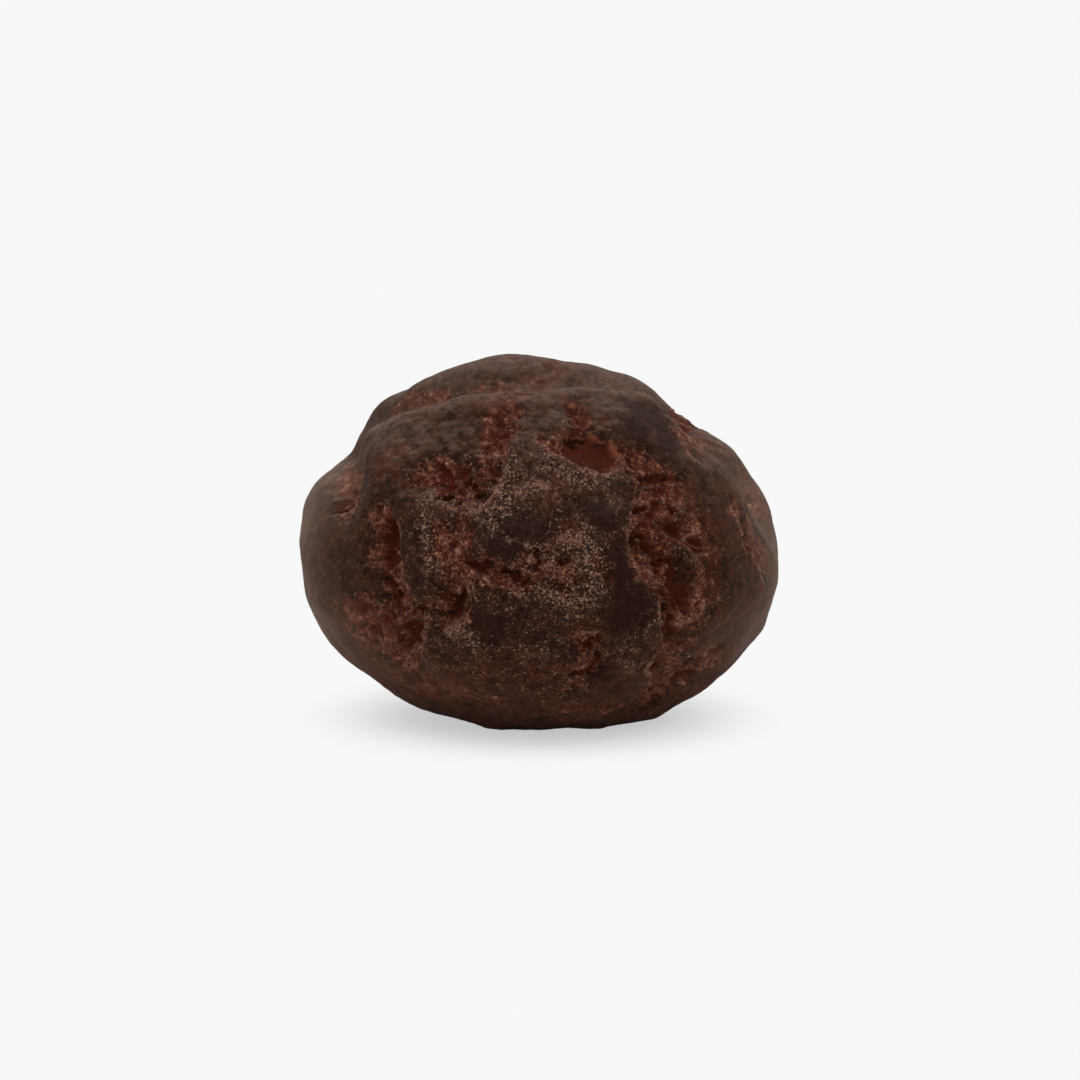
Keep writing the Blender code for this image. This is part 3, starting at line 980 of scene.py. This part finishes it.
def scatter_crumbs():
    """Points and faces of all crumbs, which sit where the coat broke, and a tint for each point."""
    normals = np.empty(len(coat_points) * 3, np.float32)
    coat.data.vertices.foreach_get("normal", normals)
    normals = normals.reshape(-1, 3)
    draw = np.random.default_rng(CRUMB_SEED)
    chance = coat_masks["broken"] * (1 - 0.8 * coat_masks["pit"]) + 0.3 * coat_masks["rim"]
    chance *= 1 - coat_masks["bubble"]
    chance *= 0.08 + 0.92 * ease((np.abs(coat_masks["front"]) - 0.25) / 0.25)
    lowest, highest = CRUMB_HEIGHTS
    chance[coat_points[:, 2] < lowest] = 0
    chance[coat_points[:, 2] > highest] = 0
    seats = draw.choice(len(coat_points), CRUMB_COUNT, replace=False, p=chance / chance.sum())
    corners, faces = lump_shape()
    smallest, largest = CRUMB_RADII
    radii = smallest + (largest - smallest) * draw.random(CRUMB_COUNT) ** 2.2
    uneven = draw.uniform(0.6, 1.25, (CRUMB_COUNT, len(corners), 1))
    squash = draw.uniform(0.7, 1.2, (CRUMB_COUNT, 1, 3))
    lumps = corners[None] * uneven * squash * radii[:, None, None]
    centres = coat_points[seats] - normals[seats] * (CRUMB_SINKING * radii[:, None])
    points = (lumps + centres[:, None]).reshape(-1, 3)
    joined = (faces[None] + len(corners) * np.arange(CRUMB_COUNT)[:, None, None]).reshape(-1, 3)
    tint = np.repeat(draw.random(CRUMB_COUNT), len(corners))
    return points, joined, tint


crumb_points, crumb_faces, crumb_tint = scatter_crumbs()
crumbs = mesh_piece("loose_crumbs", crumb_points, crumb_faces, smooth=False)
give_mask(crumbs, "tint", crumb_tint)

CRUMB_DARK = (0.040, 0.011, 0.006)
CRUMB_PALE = (0.19, 0.078, 0.050)


def crumb_material():
    """Rough broken cocoa, each crumb in a tint of its own."""
    material = bpy.data.materials.new("cocoa_crumb")
    nodes, links = nodes_of(material)
    shader = nodes["Principled BSDF"]
    place = places_in_mm(nodes, links)
    fine = noise_texture(nodes, links, place, 9.0, 3.0, 0.6)
    tone = math_node(nodes, links, "ADD", mask_of(nodes, "tint"), fine)
    links.new(mixed(nodes, links, remap(nodes, links, tone, 0.5, 1.5), CRUMB_DARK, CRUMB_PALE),
              shader.inputs["Base Color"])
    links.new(remap(nodes, links, fine, 0.3, 0.7, 0.6, 0.85), shader.inputs["Roughness"])
    shader.inputs["Specular IOR Level"].default_value = 0.3
    return material


crumbs.data.materials.append(crumb_material())
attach(crumbs, "root")

# ---- Studio --------------------------------------------------------------------------------------
# A plain pale floor that runs off into an even background, with white surroundings on all sides and
# one very soft lamp overhead. The camera looks down a little, from close by.

BACKGROUND = 0.939
FLOOR_RADIUS = 80 * MM
FLOOR_DROP = 0.01 * MM
FLOOR_CORNERS = 64
# What the eye sees of the floor is darker than what it gives back as light, and glows a little.
FLOOR_COLOUR = 0.40
FLOOR_BOUNCE = 0.72
FLOOR_GLOW = 0.52
# Distances from the berry's middle over which its shadow fades out
SHADOW_FADE = (4.0 * MM, 10.5 * MM)

floor_mesh = bpy.data.meshes.new("floor")
turns = np.linspace(0, 2 * math.pi, FLOOR_CORNERS, endpoint=False)
floor_corners = [
    (FLOOR_RADIUS * math.cos(turn), FLOOR_RADIUS * math.sin(turn), -FLOOR_DROP) for turn in turns
]
floor_mesh.from_pydata(floor_corners, [], [list(range(FLOOR_CORNERS))])
floor = bpy.data.objects.new("floor", floor_mesh)
bpy.context.scene.collection.objects.link(floor)


def floor_material():
    """A pale floor that keeps only a soft shadow and ends in the background."""
    material = bpy.data.materials.new("pale_floor")
    nodes, links = nodes_of(material)
    shader = nodes["Principled BSDF"]
    shader.inputs["Roughness"].default_value = 1.0
    shader.inputs["Specular IOR Level"].default_value = 0.0
    shader.inputs["Emission Color"].default_value = (1, 1, 1, 1)
    seen = nodes.new("ShaderNodeLightPath").outputs["Is Camera Ray"]
    colour = mixed(nodes, links, seen, (FLOOR_BOUNCE,) * 3, (FLOOR_COLOUR,) * 3)
    links.new(colour, shader.inputs["Base Color"])
    links.new(math_node(nodes, links, "MULTIPLY", seen, FLOOR_GLOW), shader.inputs["Emission Strength"])
    length = nodes.new("ShaderNodeVectorMath")
    length.operation = "LENGTH"
    links.new(nodes.new("ShaderNodeTexCoord").outputs["Object"], length.inputs[0])
    distance = length.outputs["Value"]
    near = remap(nodes, links, distance, *SHADOW_FADE, 1.0, 0.0)
    wide = remap(nodes, links, distance, 0.4 * FLOOR_RADIUS, 0.95 * FLOOR_RADIUS, 1.0, 0.0)
    shown = nodes.new("ShaderNodeMix")
    links.new(seen, shown.inputs["Factor"])
    links.new(wide, shown.inputs["A"])
    links.new(near, shown.inputs["B"])
    links.new(shown.outputs["Result"], shader.inputs["Alpha"])
    return material


floor_mesh.materials.append(floor_material())

# Brightness of the surroundings at eye level and overhead, and the share of it that is left low down
SKY_LEVEL = 0.86
SKY_HIGH = 1.22
SKY_LOW = 0.80

world = bpy.data.worlds.new("studio")
bpy.context.scene.world = world
world.use_nodes = True
sky, sky_links = world.node_tree.nodes, world.node_tree.links
sky.clear()
upward = sky.new("ShaderNodeSeparateXYZ")
sky_links.new(sky.new("ShaderNodeTexCoord").outputs["Generated"], upward.inputs[0])
light = sky.new("ShaderNodeBackground")
above = remap(sky, sky_links, upward.outputs["Z"], 0, 1, SKY_LEVEL, SKY_HIGH)
below = remap(sky, sky_links, upward.outputs["Z"], -0.4, 0, SKY_LOW, 1.0)
sky_links.new(math_node(sky, sky_links, "MULTIPLY", above, below), light.inputs["Strength"])
seen = sky.new("ShaderNodeBackground")
seen.inputs["Color"].default_value = (BACKGROUND, BACKGROUND, BACKGROUND, 1)
either = sky.new("ShaderNodeMixShader")
sky_links.new(sky.new("ShaderNodeLightPath").outputs["Is Camera Ray"], either.inputs[0])
sky_links.new(light.outputs[0], either.inputs[1])
sky_links.new(seen.outputs[0], either.inputs[2])
sky_links.new(either.outputs[0], sky.new("ShaderNodeOutputWorld").inputs["Surface"])

LAMP_POWER = 0.45
LAMP_SPREAD = math.radians(50)
LAMP_TILT = (math.radians(12), math.radians(-8), 0)

lamp_light = bpy.data.lights.new("lamp", "SUN")
lamp_light.angle = LAMP_SPREAD
lamp_light.energy = LAMP_POWER
lamp = bpy.data.objects.new("lamp", lamp_light)
bpy.context.scene.collection.objects.link(lamp)
lamp.rotation_euler = LAMP_TILT

CAMERA_ELEVATION = math.radians(8)
CAMERA_DISTANCE = 115.1 * MM
AIM = Vector((0.044 * MM, 0, 6.82 * MM))

camera_data = bpy.data.cameras.new("camera")
camera_data.lens = 100
camera_data.sensor_width = 36
camera_data.clip_start = 1 * MM
camera_data.clip_end = 10
camera = bpy.data.objects.new("camera", camera_data)
bpy.context.scene.collection.objects.link(camera)
towards_camera = Vector((0, -math.cos(CAMERA_ELEVATION), math.sin(CAMERA_ELEVATION)))
camera.location = AIM + CAMERA_DISTANCE * towards_camera
camera.rotation_euler = towards_camera.to_track_quat("Z", "Y").to_euler()
bpy.context.scene.camera = camera
bpy.context.scene.view_settings.view_transform = "Standard"
